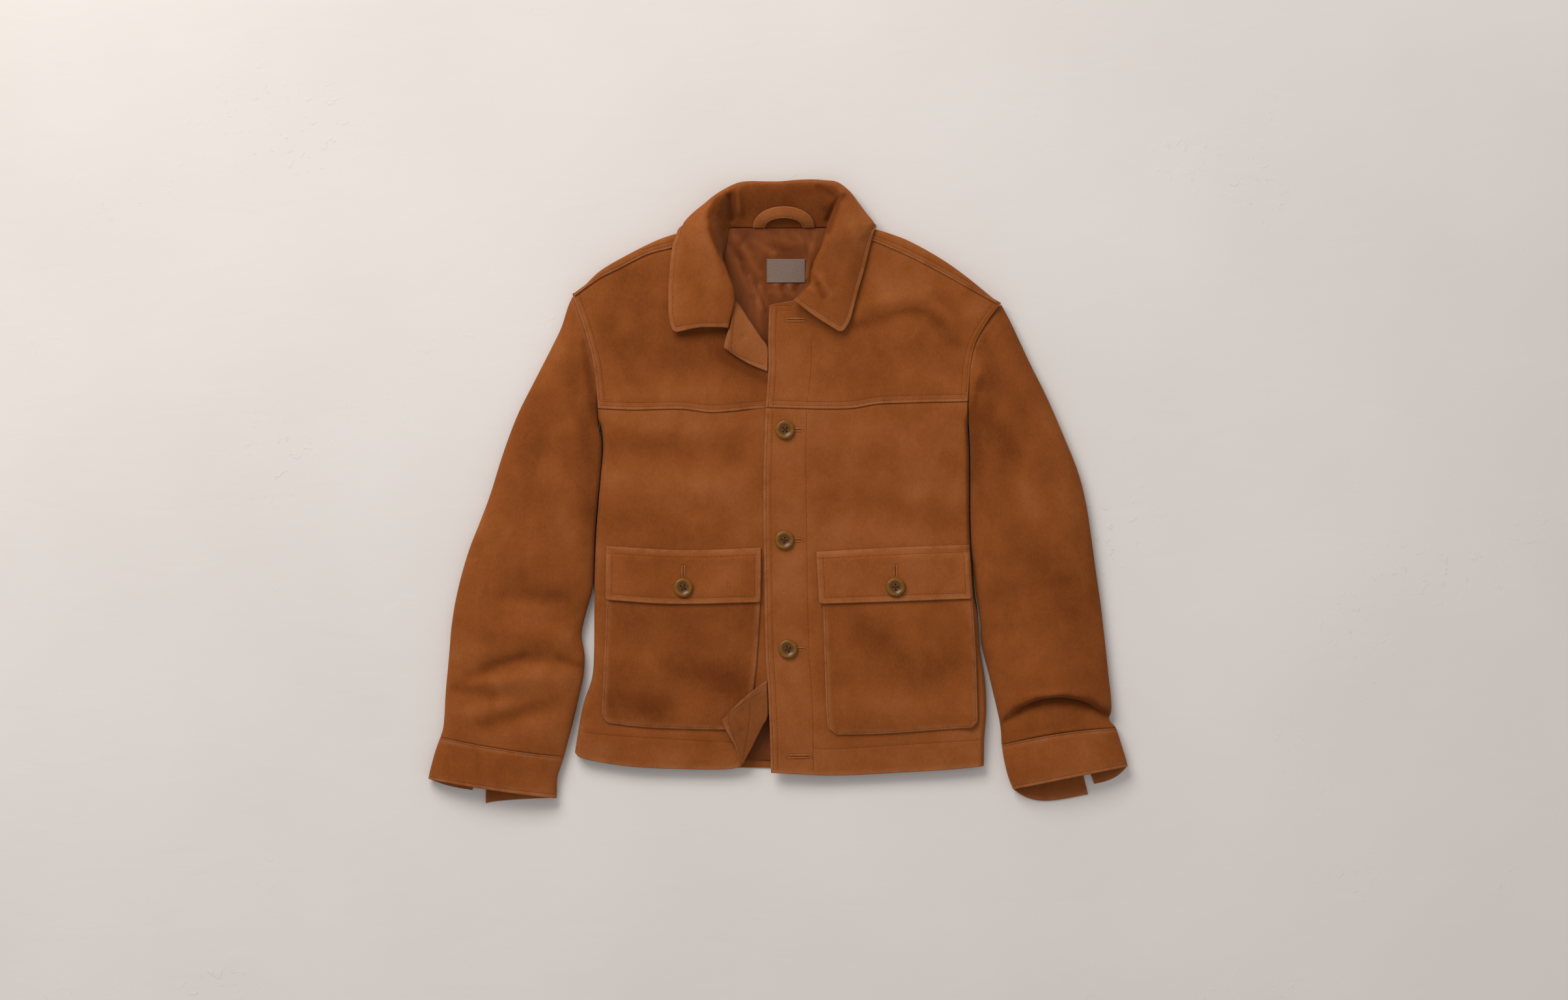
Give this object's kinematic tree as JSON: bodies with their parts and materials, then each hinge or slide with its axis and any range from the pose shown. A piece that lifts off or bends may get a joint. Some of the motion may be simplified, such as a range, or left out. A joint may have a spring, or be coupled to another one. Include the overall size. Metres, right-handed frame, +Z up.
{
  "type": "suede jacket laid flat",
  "caption": "Man's suede shirt jacket laid flat on its back, front buttoned, pointed collar, flap pockets and slit cuffs.",
  "frame": {"origin": "on the floor, under the middle of the jacket's box", "axes": "+X across the jacket to the viewer's right, +Y towards the collar, +Z up from the floor to the viewer"},
  "size_m": [0.8617, 0.7685, 0.0377],
  "materials": {
    "suede": "napped, matte",
    "suede_facing": "napped, matte, a little lighter",
    "lining": "soft satin",
    "label_tape": "woven, matte",
    "horn": "polished"
  },
  "bodies": {
    "root": {"back_panel": "suede", "back_lining": "lining", "shoulder_left": "suede", "shoulder_right": "suede", "front_yoke_left": "suede", "front_yoke_right": "suede", "front_lower_left": "suede", "front_lower_right": "suede", "front_corner_top": "suede_facing", "front_corner_bottom": "suede_facing", "collar": "suede", "hanger_loop": "suede_facing", "neck_label": "label_tape", "sleeve_left": "suede", "sleeve_right": "suede", "cuff_left": "suede", "cuff_right": "suede", "pocket_left": "suede", "pocket_flap_left": "suede", "pocket_right": "suede", "pocket_flap_right": "suede", "button_front_1": "horn", "button_front_2": "horn", "button_front_3": "horn", "button_flap_left": "horn", "button_flap_right": "horn"}
  },
  "joints": []
}
